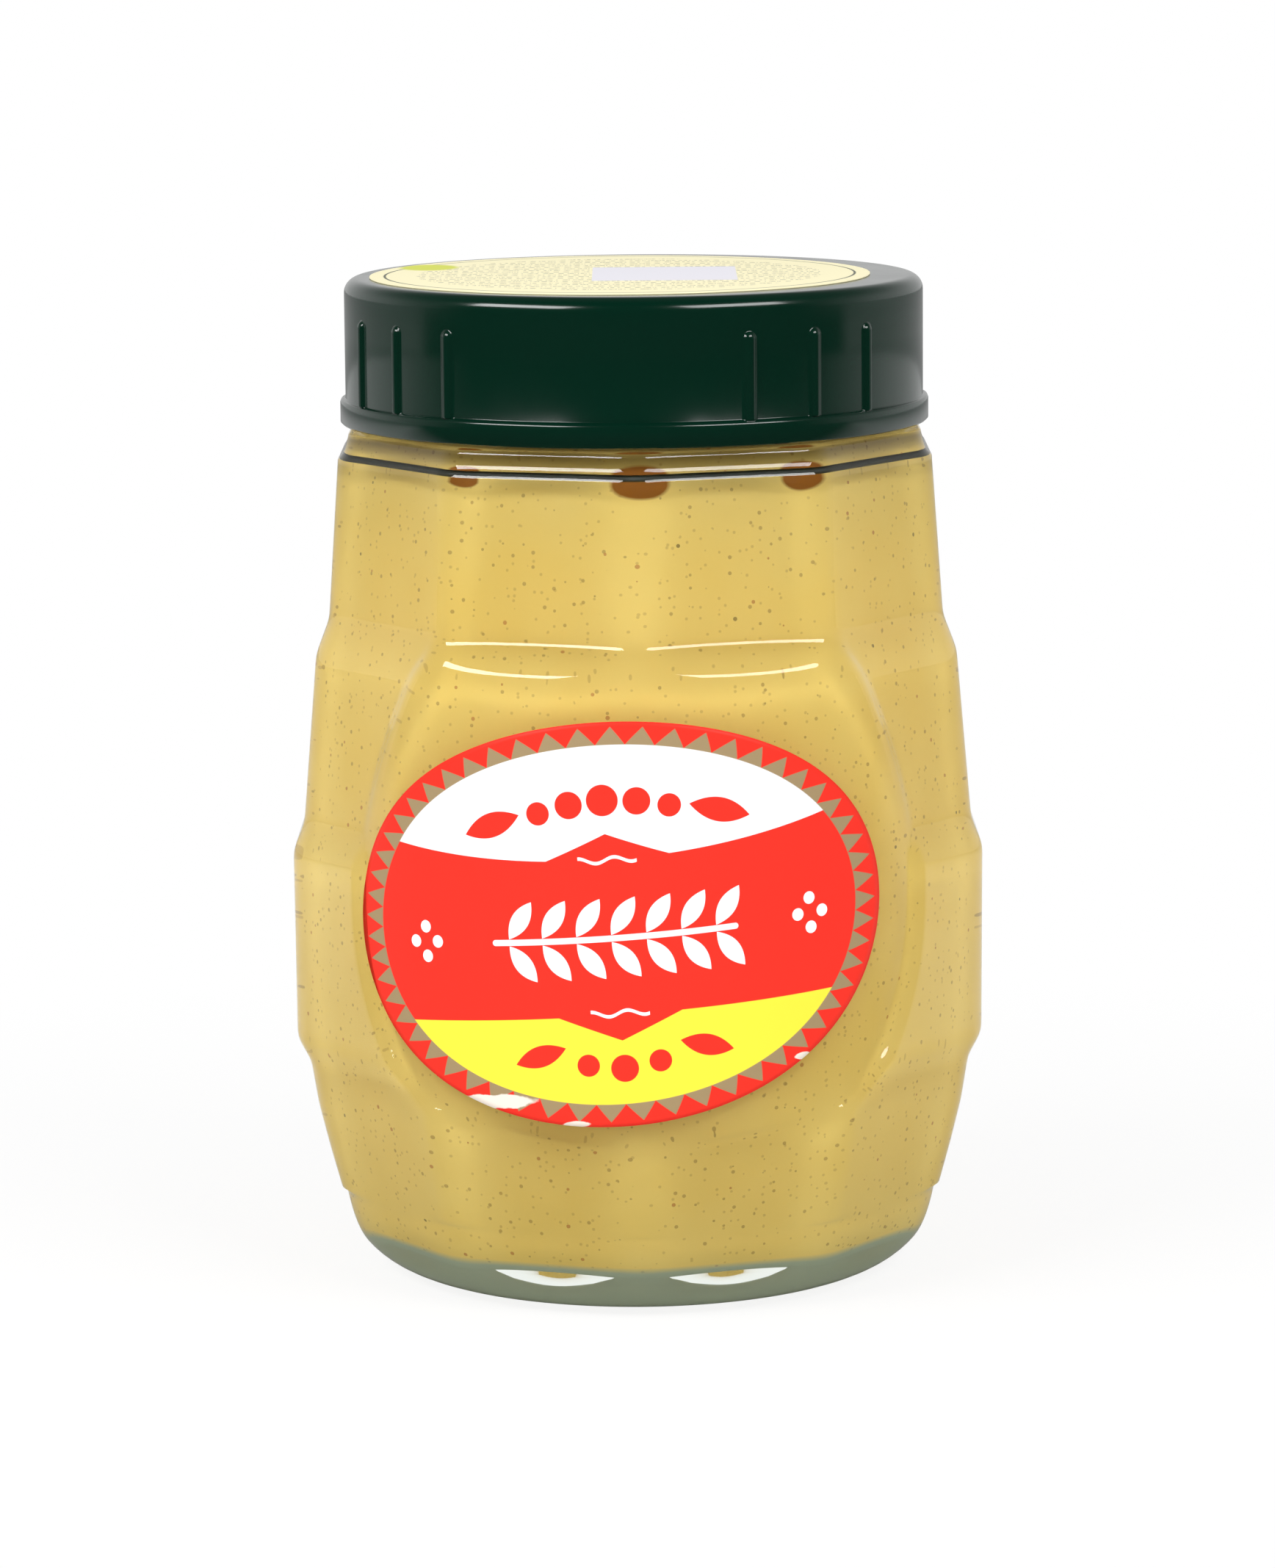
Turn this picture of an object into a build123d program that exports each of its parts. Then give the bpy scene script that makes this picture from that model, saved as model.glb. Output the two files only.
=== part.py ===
"""A faceted pressed-glass jar of mustard with a ribbed plastic screw cap.

Millimetres. The jar stands on z = 0 with its axis on Z, and its front faces -Y.
The body is a ten-sided barrel in four tiers. A ridge, not a flat, faces the front, where a
smooth round panel takes the oval label. Pieces: glass_jar, mustard, lid, lid_label, front_label.
"""

import os
from math import cos, pi, radians, sin

from build123d import *

os.makedirs("parts", exist_ok=True)

# --- Glass body: ridge radii are measured to the sharp corner of the ten-sided section ---
sides = 10                    # flats around the body
ridge_round = 6.0             # rounding radius of the upright ridges
belt_ridge_r = 37.35          # widest tier, the third from the top
belt_height = 19.6            # height of its straight faces

foot_height = 23.1            # tier four, which curves in towards the base
foot_draw_in = 6.25           # how far tier four would draw in at z = 0
foot_power = 1.32             # how that curve gathers towards the base
foot_bands = 5                # bands that make up the curve
heel_round = 9.0              # rounding of the heel, a surface of revolution
heel_centre_r = 22.5          # radius on which the centre of that rounding runs

ledge_three_height = 2.6      # from tier four out to the belt
ledge_three_step = 1.5
ledge_two_height = 2.8        # from the belt back in to tier two
ledge_two_step = 1.2
tier_two_height = 17.4
tier_two_taper = 1.55
ledge_one_height = 3.6        # from tier two back in to tier one
ledge_one_step = 1.45
tier_one_height = 16.5
tier_one_taper = 1.2
shoulder_height = 2.5         # the bevel under the cap
shoulder_taper = 0.8

# --- Glass wall, base and neck ---
wall = 2.6                    # from the flats to the cavity
base_thickness = 4.8
floor_corner_r = 3.5          # rounding between the cavity's floor and its wall
neck_outer_r = 27.6
neck_wall = 2.3
rim_round = 0.8

# --- Label panel: a smooth band of a cylinder let into the front ---
panel_r = 34.6
panel_half_width = 28.3       # at its widest
panel_top_half_width = 20.8
panel_bottom_half_width = 22.0
panel_bottom_sag = 3.0        # how far its lower edge dips at the middle
panel_top_drop = 2.6          # its upper edge, below the top of ledge one
panel_corner_r = 3.0

# --- Filling ---
headspace = 3.6               # from the mustard's surface to the glass rim

# --- Cap ---
cap_outer_r = 29.85
cap_wall = 1.5
cap_top_thickness = 1.6
cap_edge_round = 1.5
cap_neck_height = 13.8        # glass neck above the shoulder, which the cap covers
cap_gap = 0.5                 # from the cap's lower edge to the glass shoulder
flange_proud = 0.55
flange_height = 2.5
rib_groups = 4
ribs_per_group = 3
rib_pitch = 14.5              # degrees
rib_first_group = 37.0        # degrees from the front, towards +X
rib_radius = 0.8
rib_proud = 0.45
rib_top_gap = 3.5             # from the ribs' rounded ends to the cap's top

# --- Paper labels ---
paper = 0.12
lid_label_r = 25.8
lid_label_offset = (-1.4, -0.4)
label_half_width = 29.6       # along the curve of the panel
label_half_height = 20.4
label_azimuth = -4.6          # degrees from the front, towards +X
label_tilt = 4.4              # degrees, right side up
label_low = 3.7               # its centre, below the panel's middle height

# --- Heights and radii worked out from those sizes ---
flat_share = cos(pi / sides)
section_turn = 90.0 / (sides / 2)

belt_bottom_z = foot_height + ledge_three_height
belt_top_z = belt_bottom_z + belt_height
tier_two_bottom_z = belt_top_z + ledge_two_height
tier_two_top_z = tier_two_bottom_z + tier_two_height
tier_one_bottom_z = tier_two_top_z + ledge_one_height
tier_one_top_z = tier_one_bottom_z + tier_one_height
shoulder_z = tier_one_top_z + shoulder_height
rim_z = shoulder_z + cap_neck_height
cap_top_z = rim_z + cap_top_thickness
fill_z = rim_z - headspace

foot_top_r = belt_ridge_r - ledge_three_step
tier_two_bottom_r = belt_ridge_r - ledge_two_step
tier_two_top_r = tier_two_bottom_r - tier_two_taper
tier_one_bottom_r = tier_two_top_r - ledge_one_step
tier_one_top_r = tier_one_bottom_r - tier_one_taper
shoulder_top_r = tier_one_top_r - shoulder_taper
neck_inner_r = neck_outer_r - neck_wall


def foot_ridge_r(z):
    """Ridge radius of tier four at height z."""
    share = (foot_height - z) / foot_height
    return foot_top_r - foot_draw_in * share**foot_power


# Body sections from the base up: height and ridge radius.
sections = [
    (z, foot_ridge_r(z))
    for z in (foot_height * band / foot_bands for band in range(foot_bands + 1))
]
sections += [
    (belt_bottom_z, belt_ridge_r),
    (belt_top_z, belt_ridge_r),
    (tier_two_bottom_z, tier_two_bottom_r),
    (tier_two_top_z, tier_two_top_r),
    (tier_one_bottom_z, tier_one_bottom_r),
    (tier_one_top_z, tier_one_top_r),
    (shoulder_z, shoulder_top_r),
]


def cavity_outline(top_z):
    """Half outline of the jar's round cavity, closed on the axis at height top_z."""
    floor_wall_z = base_thickness + floor_corner_r
    floor_wall_r = foot_ridge_r(floor_wall_z) * flat_share - wall
    floor_centre = (floor_wall_r - floor_corner_r, floor_wall_z)
    corner_mid = (
        floor_centre[0] + floor_corner_r * sin(pi / 4),
        floor_centre[1] - floor_corner_r * cos(pi / 4),
    )
    neck_start_z = shoulder_z + 1.0
    wall_points = [
        (floor_wall_r, floor_wall_z),
        (foot_top_r * flat_share - wall, foot_height),
        (belt_ridge_r * flat_share - wall - 0.4, (belt_bottom_z + belt_top_z) / 2),
        (tier_two_top_r * flat_share - wall, tier_two_top_z),
        (tier_one_top_r * flat_share - wall, tier_one_top_z - 2 * shoulder_height),
        (neck_inner_r, neck_start_z),
    ]
    with BuildLine() as outline:
        Line((0, base_thickness), (floor_centre[0], base_thickness))
        ThreePointArc((floor_centre[0], base_thickness), corner_mid, wall_points[0])
        Spline(wall_points, tangents=[(0.2, 1), (0, 1)])
        Line((neck_inner_r, neck_start_z), (neck_inner_r, top_z))
        Line((neck_inner_r, top_z), (0, top_z))
        Line((0, top_z), (0, base_thickness))
    return outline.line


# --- Label panel's outline, seen from the front (x across, z up) ---
panel_top_z = tier_one_bottom_z - panel_top_drop
panel_bottom_z = foot_height
panel_middle_z = (panel_top_z + panel_bottom_z) / 2
with BuildSketch(Plane.XZ) as panel_outline:
    with BuildLine():
        Line((-panel_top_half_width, panel_top_z), (panel_top_half_width, panel_top_z))
        ThreePointArc(
            (panel_top_half_width, panel_top_z),
            (panel_half_width, panel_middle_z - label_low),
            (panel_bottom_half_width, panel_bottom_z),
        )
        ThreePointArc(
            (panel_bottom_half_width, panel_bottom_z),
            (0, panel_bottom_z - panel_bottom_sag),
            (-panel_bottom_half_width, panel_bottom_z),
        )
        ThreePointArc(
            (-panel_bottom_half_width, panel_bottom_z),
            (-panel_half_width, panel_middle_z - label_low),
            (-panel_top_half_width, panel_top_z),
        )
    make_face()
    fillet(panel_outline.vertices(), radius=panel_corner_r)

# The panel's own volume is the part of a cylinder inside that outline.
with BuildPart() as panel_core:
    extrude(panel_outline.sketch, amount=2 * belt_ridge_r)
    with BuildSketch():
        Circle(panel_r)
    extrude(amount=rim_z, mode=Mode.INTERSECT)

# What stands proud of it is taken off the tiers.
with BuildPart() as panel_clearance:
    extrude(panel_outline.sketch, amount=2 * belt_ridge_r)
    with BuildSketch():
        Circle(panel_r)
    extrude(amount=rim_z, mode=Mode.SUBTRACT)

# --- Glass jar ---
with BuildPart() as glass_jar:
    for z, ridge_r in sections:
        with BuildSketch(Plane.XY.offset(z)) as section:
            RegularPolygon(ridge_r, sides, rotation=section_turn)
            fillet(section.vertices(), radius=ridge_round)
    loft(ruled=True)
    # The label panel
    add(panel_clearance.part, mode=Mode.SUBTRACT)
    add(panel_core.part)
    # The heel and the base are round: turned off by one revolved outline.
    with BuildSketch(Plane.XZ):
        with BuildLine():
            Line((0, 0), (heel_centre_r, 0))
            ThreePointArc(
                (heel_centre_r, 0),
                (heel_centre_r + heel_round * sin(pi / 4), heel_round * (1 - cos(pi / 4))),
                (heel_centre_r + heel_round, heel_round),
            )
            Line((heel_centre_r + heel_round, heel_round), (2 * belt_ridge_r, foot_height))
            Line((2 * belt_ridge_r, foot_height), (2 * belt_ridge_r, rim_z))
            Line((2 * belt_ridge_r, rim_z), (0, rim_z))
            Line((0, rim_z), (0, 0))
        make_face()
    revolve(axis=Axis.Z, mode=Mode.INTERSECT)
    # The neck, with a rounded rim
    with BuildSketch(Plane.XY.offset(shoulder_z)):
        Circle(neck_outer_r)
    extrude(amount=cap_neck_height)
    # The cavity
    with BuildSketch(Plane.XZ):
        add(cavity_outline(rim_z))
        make_face()
    revolve(axis=Axis.Z, mode=Mode.SUBTRACT)
    fillet(glass_jar.edges().filter_by(GeomType.CIRCLE).group_by(Axis.Z)[-1], radius=rim_round)
glass_jar.part.label = "glass_jar"
export_step(glass_jar.part, "parts/glass_jar.step")

# --- Mustard: fills the cavity to just below the rim ---
with BuildPart() as mustard:
    with BuildSketch(Plane.XZ):
        add(cavity_outline(fill_z))
        make_face()
    revolve(axis=Axis.Z)
mustard.part.label = "mustard"
export_step(mustard.part, "parts/mustard.step")

# --- Screw cap: seated on the glass rim ---
cap_bottom_z = shoulder_z + cap_gap
cap_inner_r = cap_outer_r - cap_wall
flange_r = cap_outer_r + flange_proud
with BuildPart() as lid:
    with BuildSketch(Plane.XZ):
        with BuildLine():
            Line((0, rim_z), (cap_inner_r, rim_z))
            Line((cap_inner_r, rim_z), (cap_inner_r, cap_bottom_z))
            Line((cap_inner_r, cap_bottom_z), (flange_r, cap_bottom_z))
            Line((flange_r, cap_bottom_z), (flange_r, cap_bottom_z + flange_height))
            Line((flange_r, cap_bottom_z + flange_height), (cap_outer_r, cap_bottom_z + flange_height))
            Line((cap_outer_r, cap_bottom_z + flange_height), (cap_outer_r, cap_top_z))
            Line((cap_outer_r, cap_top_z), (0, cap_top_z))
            Line((0, cap_top_z), (0, rim_z))
        make_face()
    revolve(axis=Axis.Z)
    fillet(lid.edges().filter_by(GeomType.CIRCLE).group_by(Axis.Z)[-1], radius=cap_edge_round)
    # Upright half-round grip ribs, in groups of three
    rib_bottom_z = cap_bottom_z + flange_height / 2
    rib_top_z = cap_top_z - rib_top_gap - rib_radius
    rib_centre_r = cap_outer_r + rib_proud - rib_radius
    for group in range(rib_groups):
        for rib in range(ribs_per_group):
            step = rib - (ribs_per_group - 1) / 2
            azimuth = radians(rib_first_group + group * 360 / rib_groups + step * rib_pitch)
            spot = (rib_centre_r * sin(azimuth), -rib_centre_r * cos(azimuth))
            with BuildSketch(Plane.XY.offset(rib_bottom_z)):
                with Locations(spot):
                    Circle(rib_radius)
            extrude(amount=rib_top_z - rib_bottom_z)
            with Locations((spot[0], spot[1], rib_top_z)):
                Sphere(rib_radius)
lid.part.label = "lid"
export_step(lid.part, "parts/lid.step")

# --- Round paper label stuck on the cap, a little off its centre ---
with BuildPart() as lid_label:
    with BuildSketch(Plane.XY.offset(cap_top_z)):
        with Locations(lid_label_offset):
            Circle(lid_label_r)
    extrude(amount=paper)
lid_label.part.label = "lid_label"
export_step(lid_label.part, "parts/lid_label.step")

# --- Oval paper label wrapped on the panel ---
label_z = panel_middle_z - label_low
outline_points = []
outline_count = 32
for step in range(outline_count):
    turn = 2 * pi * step / outline_count
    tilt = radians(label_tilt)
    along = label_half_width * cos(turn)
    up = label_half_height * sin(turn)
    arc = (along * cos(tilt) - up * sin(tilt)) / panel_r
    outline_points.append((panel_r * sin(arc), label_z + along * sin(tilt) + up * cos(tilt)))
label_plane = Plane.XZ.rotated((0, 0, label_azimuth))
with BuildPart() as front_label:
    with BuildSketch(label_plane):
        with BuildLine():
            Spline(outline_points, periodic=True)
        make_face()
    extrude(amount=2 * belt_ridge_r)
    with BuildSketch():
        Circle(panel_r + paper)
    extrude(amount=rim_z, mode=Mode.INTERSECT)
    with BuildSketch():
        Circle(panel_r)
    extrude(amount=rim_z, mode=Mode.SUBTRACT)
front_label.part.label = "front_label"
export_step(front_label.part, "parts/front_label.step")

# --- What was built ---
for piece in (glass_jar, mustard, lid, lid_label, front_label):
    box = piece.part.bounding_box()
    print(f"{piece.part.label:12s} volume {piece.part.volume / 1000:8.2f} ml  size {box.size}")
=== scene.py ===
"""Looks of a full mustard jar: faceted pressed glass, mustard, a screw cap and two paper labels.

The jar stands on z = 0 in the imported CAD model's frame, and its label faces -Y. Sizes of the jar's
pieces are in millimetres and become metres by MM. Sizes of the studio are in metres.
"""

import math

import bmesh
import bpy
import numpy as np
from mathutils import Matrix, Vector


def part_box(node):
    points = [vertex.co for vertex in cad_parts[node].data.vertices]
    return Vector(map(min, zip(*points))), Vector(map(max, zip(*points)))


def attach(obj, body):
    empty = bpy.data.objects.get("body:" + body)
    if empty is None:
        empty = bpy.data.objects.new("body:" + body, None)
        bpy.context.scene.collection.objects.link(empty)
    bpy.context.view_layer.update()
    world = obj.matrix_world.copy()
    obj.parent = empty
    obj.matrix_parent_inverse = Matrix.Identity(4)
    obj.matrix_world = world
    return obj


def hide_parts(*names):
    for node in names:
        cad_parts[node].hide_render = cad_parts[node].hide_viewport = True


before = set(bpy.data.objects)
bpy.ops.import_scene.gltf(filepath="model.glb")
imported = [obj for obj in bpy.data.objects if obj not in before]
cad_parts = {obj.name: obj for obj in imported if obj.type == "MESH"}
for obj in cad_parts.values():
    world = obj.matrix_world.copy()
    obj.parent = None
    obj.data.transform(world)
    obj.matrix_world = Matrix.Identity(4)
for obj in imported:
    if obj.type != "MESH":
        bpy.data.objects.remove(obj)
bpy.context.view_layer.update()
MM = 0.001

# --- The glass body ---------------------------------------------------------------------------
# A pressed-glass barrel with ten upright ridges, one of them at the front, and three ledges that
# part four tiers. A round panel is let into the front for the label. The inside is round.
RIM_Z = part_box("glass_jar")[1].z / MM
NECK_HEIGHT = 13.8
SHOULDER_Z = RIM_Z - NECK_HEIGHT
NECK_R = 27.6
NECK_INNER_R = 25.3
RIM_ROUND = 0.8
SIDES = 10
SECTOR = 2.0 * math.pi / SIDES
FLAT_SHARE = math.cos(math.pi / SIDES)
RIDGE_ROUND = 6.0
SHOULDER_RIDGE_R = 31.95
# Height and ridge radius of each corner of the upright outline, and how far the corner is rounded
OUTLINE = (
    (0.0, 29.6, 0.5),
    (4.6, 31.2, 1.0),
    (9.2, 32.65, 1.5),
    (13.9, 33.95, 1.5),
    (18.5, 35.1, 1.5),
    (23.1, 35.85, 0.9),
    (25.7, 37.25, 1.1),
    (45.3, 37.35, 1.1),
    (48.1, 36.15, 1.2),
    (65.5, 34.6, 1.1),
    (69.1, 33.15, 1.0),
    (85.6, SHOULDER_RIDGE_R, 0.12),
    (86.3, 31.25, 0.15),
    (SHOULDER_Z, 30.75, 0.5),
)
HEEL_CENTRE_R = 22.5
HEEL_ROUND = 9.0
HEEL_SLOPE = 3.0
HEEL_BLEND = 0.8
# The panel is widest at its middle height, narrows both ways, and its lower edge sags
PANEL_R = 34.6
PANEL_MIDDLE_Z = 44.0
PANEL_RISE = 24.0
PANEL_FALL = 21.5
PANEL_HALF_WIDTH = 27.6
PANEL_TOP_NARROWING = 6.6
PANEL_FOOT_NARROWING = 6.0
PANEL_FOOT_Z = 22.6
PANEL_FOOT_SAG = 3.0
PANEL_FOOT_HALF_WIDTH = 22.0
PANEL_TOP_LOW_Z = 65.8
PANEL_TOP_HIGH_Z = 69.4
PANEL_HALF_TURN = 1.4
PANEL_WALL = 0.75
PANEL_WALL_MORE_ABOVE = 0.9
PANEL_WALL_MORE_BELOW = 0.5


def smooth_step(x, low, high):
    """0 below low, 1 above high, and a smooth rise between."""
    t = np.clip((x - low) / (high - low), 0.0, 1.0)
    return t * t * (3.0 - 2.0 * t)


def soft_min(a, b, width):
    """The smaller of two radii, rounded over where they meet."""
    h = np.clip(0.5 + 0.5 * (b - a) / width, 0.0, 1.0)
    return b * (1.0 - h) + a * h - width * h * (1.0 - h)


def ridge_radius(z):
    """Ridge radius at height z, with each corner of the outline rounded."""
    z = np.asarray(z, float)
    heights, radii, rounds = np.array(OUTLINE).T
    spread = np.interp(z, heights, rounds)
    total = np.zeros_like(z)
    steps = np.linspace(-1.0, 1.0, 9)
    shares = 1.0 - np.abs(steps) * 0.9
    for step, share in zip(steps, shares):
        at = np.clip(z + step * spread, heights[0], heights[-1])
        total += share * np.interp(at, heights, radii)
    return total / shares.sum()


def faceted(azimuth, ridge_r, rounding):
    """Radius of a ten-sided section with rounded ridges, at an angle from the front."""
    off = np.abs((azimuth + SECTOR / 2.0) % SECTOR - SECTOR / 2.0)
    flat = ridge_r * FLAT_SHARE / np.cos(SECTOR / 2.0 - off)
    centre = ridge_r - rounding / FLAT_SHARE
    reach = np.clip(rounding**2 - (centre * np.sin(off)) ** 2, 0.0, None)
    corner = centre * np.cos(off) + np.sqrt(reach)
    edge = np.arctan2(rounding * math.sin(SECTOR / 2.0), centre + rounding * FLAT_SHARE)
    return np.where(off < edge, corner, flat)


def panel_share(azimuth, z):
    """1 on the label panel, 0 outside it, with a sloping wall between."""
    facing = np.abs(azimuth) < PANEL_HALF_TURN
    across = np.where(facing, np.sin(azimuth), np.sign(azimuth)) * PANEL_R
    upper = np.clip((z - PANEL_MIDDLE_Z) / PANEL_RISE, 0.0, 1.0)
    lower = np.clip((PANEL_MIDDLE_Z - z) / PANEL_FALL, 0.0, 1.0)
    half = PANEL_HALF_WIDTH - PANEL_TOP_NARROWING * upper**2.0 - PANEL_FOOT_NARROWING * lower**2.6
    wall = PANEL_WALL + PANEL_WALL_MORE_ABOVE * upper + PANEL_WALL_MORE_BELOW * lower
    side = 1.0 - smooth_step(np.abs(across), half - wall * 0.4, half + wall)
    bow = 1.0 - np.clip(across / PANEL_FOOT_HALF_WIDTH, -1.0, 1.0) ** 2
    foot_z = PANEL_FOOT_Z - PANEL_FOOT_SAG * bow
    foot = smooth_step(z, foot_z - 1.1, foot_z + 0.5)
    top = 1.0 - smooth_step(z, PANEL_TOP_LOW_Z, PANEL_TOP_HIGH_Z)
    return side * foot * top * facing


def outer_radius(azimuth, z):
    """Outer radius of the glass below the neck."""
    body = faceted(azimuth, ridge_radius(z), RIDGE_ROUND)
    panel = panel_share(azimuth, z)
    body = body * (1.0 - panel) + PANEL_R * panel
    under = np.clip(HEEL_ROUND - z, 0.0, HEEL_ROUND)
    heel = HEEL_CENTRE_R + np.sqrt(np.clip(HEEL_ROUND**2 - under**2, 0.0, None))
    above_heel = HEEL_CENTRE_R + HEEL_ROUND + (z - HEEL_ROUND) * HEEL_SLOPE
    return soft_min(body, np.where(z < HEEL_ROUND, heel, above_heel), HEEL_BLEND)


FLOOR_Z = 4.8
FLOOR_ROUND = 3.5
FLOOR_ROUND_TOP_Z = FLOOR_Z + FLOOR_ROUND
# Height and radius of the round inside, from the top of the floor's round up to the rim
INSIDE = (
    (8.3, 28.3),
    (14.0, 29.9),
    (23.1, 31.49),
    (35.5, 32.5),
    (48.0, 32.1),
    (65.5, 30.35),
    (80.5, 28.2),
    (84.5, 27.4),
    (87.0, 26.3),
    (89.1, NECK_INNER_R),
    (RIM_Z, NECK_INNER_R),
)
INSIDE_SMOOTH_FROM_Z = 11.0
INSIDE_SMOOTH_TO_Z = 87.0
FLOOR_FLAT_R = INSIDE[0][1] - FLOOR_ROUND


def cavity_radius(z):
    """Radius of the round inside, from the rounded floor up to the neck."""
    z = np.asarray(z, float)
    heights, radii = np.array(INSIDE).T
    under = np.clip(FLOOR_ROUND_TOP_Z - z, 0.0, FLOOR_ROUND)
    corner = FLOOR_FLAT_R + np.sqrt(np.clip(FLOOR_ROUND**2 - under**2, 0.0, None))
    plain_curve = np.interp(z, heights, radii)
    smooth_curve = sum(np.interp(z + s, heights, radii) for s in (-2.0, -1.0, 0.0, 1.0, 2.0)) / 5.0
    smoothed = (z > INSIDE_SMOOTH_FROM_Z) & (z < INSIDE_SMOOTH_TO_Z)
    curve = np.where(smoothed, smooth_curve, plain_curve)
    return np.where(z < FLOOR_ROUND_TOP_Z, corner, curve)


def add_object(name, data):
    """An object of that name in the scene, holding a mesh, lamp or camera."""
    thing = bpy.data.objects.new(name, data)
    bpy.context.scene.collection.objects.link(thing)
    return thing


def turns_around(count):
    """Angles right round from the back, each from the front."""
    return np.linspace(-math.pi, math.pi, count, endpoint=False)


BODY_TURNS = turns_around(600)


def ring(radius, z, turns=BODY_TURNS):
    """One ring of points: radius is a number or one value for each angle."""
    radius = np.broadcast_to(radius, turns.shape)
    height = np.broadcast_to(z, turns.shape)
    return np.stack([radius * np.sin(turns), -radius * np.cos(turns), height], 1)


def ring_mesh(name, rings, closed_loop=False):
    """A skin over rings: the last joins the first in a closed loop, or both ends are capped."""
    count = len(rings[0])
    verts = [tuple(np.asarray(p) * MM) for row in rings for p in row]
    faces = []
    for level in range(len(rings) - 1 + int(closed_loop)):
        low = level * count
        high = ((level + 1) % len(rings)) * count
        for i in range(count):
            j = (i + 1) % count
            faces.append((low + i, low + j, high + j, high + i))
    if not closed_loop:
        first_pole = len(verts)
        last = (len(rings) - 1) * count
        for end in (rings[0], rings[-1]):
            verts.append(tuple(np.mean(end, axis=0) * MM))
        for i in range(count):
            j = (i + 1) % count
            faces.append((j, i, first_pole))
            faces.append((last + i, last + j, first_pole + 1))
    mesh = bpy.data.meshes.new(name)
    mesh.from_pydata(verts, [], faces)
    mesh.polygons.foreach_set("use_smooth", [True] * len(mesh.polygons))
    mesh.update()
    return add_object(name, mesh)


PUNT_R = 21.0
PUNT_DEPTH = 1.0
HEEL_TURN = math.pi / 2 * 0.72
HEEL_TOP_Z = HEEL_ROUND * (1.0 - math.cos(HEEL_TURN))
glass_rings = []
# Under the base: the punt's dome, then the ring that the jar stands on
for share in np.linspace(0.02, 1.0, 9):
    glass_rings.append(ring(PUNT_R * share, PUNT_DEPTH * (1.0 - share**2)))
# The heel, by angle, so that its round is even, and then the wall
for turn in np.linspace(0.06, HEEL_TURN, 14):
    z = HEEL_ROUND * (1.0 - math.cos(turn))
    glass_rings.append(ring(outer_radius(BODY_TURNS, z), z))
for z in np.linspace(HEEL_TOP_Z, SHOULDER_Z, 190)[1:]:
    glass_rings.append(ring(outer_radius(BODY_TURNS, z), z))
# Over the shoulder, up the neck, over the rim and down the inside
shoulder_edge = outer_radius(BODY_TURNS, SHOULDER_Z)
for share in (0.12, 0.5, 0.88):
    r = shoulder_edge * (1 - share) + NECK_R * share
    glass_rings.append(ring(r, SHOULDER_Z + 0.12 * share))
glass_rings.append(ring(NECK_R, SHOULDER_Z + 0.6))
glass_rings.append(ring(NECK_R, RIM_Z - RIM_ROUND))
for turn in (0.4, 0.8, 1.2, math.pi / 2):
    r = NECK_R - RIM_ROUND * (1 - math.cos(turn))
    glass_rings.append(ring(r, RIM_Z - RIM_ROUND * (1 - math.sin(turn))))
for turn in (math.pi / 2, 1.2, 0.8, 0.4, 0.0):
    r = NECK_INNER_R + RIM_ROUND * (1 - math.cos(turn))
    glass_rings.append(ring(r, RIM_Z - RIM_ROUND * (1 - math.sin(turn))))
for z in np.linspace(RIM_Z - 2.0, FLOOR_ROUND_TOP_Z, 90):
    glass_rings.append(ring(cavity_radius(z), z))
for turn in np.linspace(0.15, math.pi / 2, 8):
    r = FLOOR_FLAT_R + FLOOR_ROUND * math.cos(turn)
    glass_rings.append(ring(r, FLOOR_Z + FLOOR_ROUND * (1 - math.sin(turn))))
for share in (0.75, 0.5, 0.25, 0.05):
    glass_rings.append(ring(FLOOR_FLAT_R * share, FLOOR_Z))
glass = ring_mesh("glass_body", glass_rings)


def new_material(name):
    """A node material of that name, with its node tree and its main shader."""
    material = bpy.data.materials.new(name)
    material.use_nodes = True
    tree = material.node_tree
    return material, tree, tree.nodes["Principled BSDF"]


def linear(r, g, b):
    """Linear colour of an sRGB colour given in 0 to 255."""
    def one(c):
        c = c / 255.0
        return c / 12.92 if c <= 0.04045 else ((c + 0.055) / 1.055) ** 2.4
    return (one(r), one(g), one(b), 1.0)


def coordinates(tree, kind="Object"):
    """A piece's own coordinates, in metres where the kind is Object."""
    return tree.nodes.new("ShaderNodeTexCoord").outputs[kind]


def noise_over(tree, vector, scale, detail=2.0):
    """Soft grey noise over the coordinates."""
    noise = tree.nodes.new("ShaderNodeTexNoise")
    noise.inputs["Scale"].default_value = scale
    noise.inputs["Detail"].default_value = detail
    tree.links.new(vector, noise.inputs["Vector"])
    return noise.outputs["Fac"]


def relief(tree, shader, height, strength, distance):
    """Fine relief on the surface from a grey field: distance is in metres."""
    bump = tree.nodes.new("ShaderNodeBump")
    bump.inputs["Strength"].default_value = strength
    bump.inputs["Distance"].default_value = distance
    tree.links.new(height, bump.inputs["Height"])
    tree.links.new(bump.outputs["Normal"], shader.inputs["Normal"])


glass_material, tree, shader = new_material("clear_green_glass")
shader.inputs["Base Color"].default_value = (0.93, 0.98, 0.94, 1.0)
shader.inputs["Transmission Weight"].default_value = 1.0
shader.inputs["IOR"].default_value = 1.5
shader.inputs["Roughness"].default_value = 0.0
relief(tree, shader, noise_over(tree, coordinates(tree), 55.0, 1.5), 0.12, 0.0006)
glass.data.materials.append(glass_material)
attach(glass, "root")
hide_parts("glass_jar")

# --- The painted dark line at the shoulder ----------------------------------------------------
# A dark line runs round the shoulder's edge, where light through the glass turns away. It is painted
# shade: a thin, near-black ribbon lies inside the glass, just under the surface.
DARK_LINE_Z = 85.35
DARK_LINE_HEIGHT = 0.62
DARK_LINE_RIDGE_ROUND = 5.0
DARK_LINE_DEPTH = 0.35
DARK_LINE_LEAN = 0.5
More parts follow.
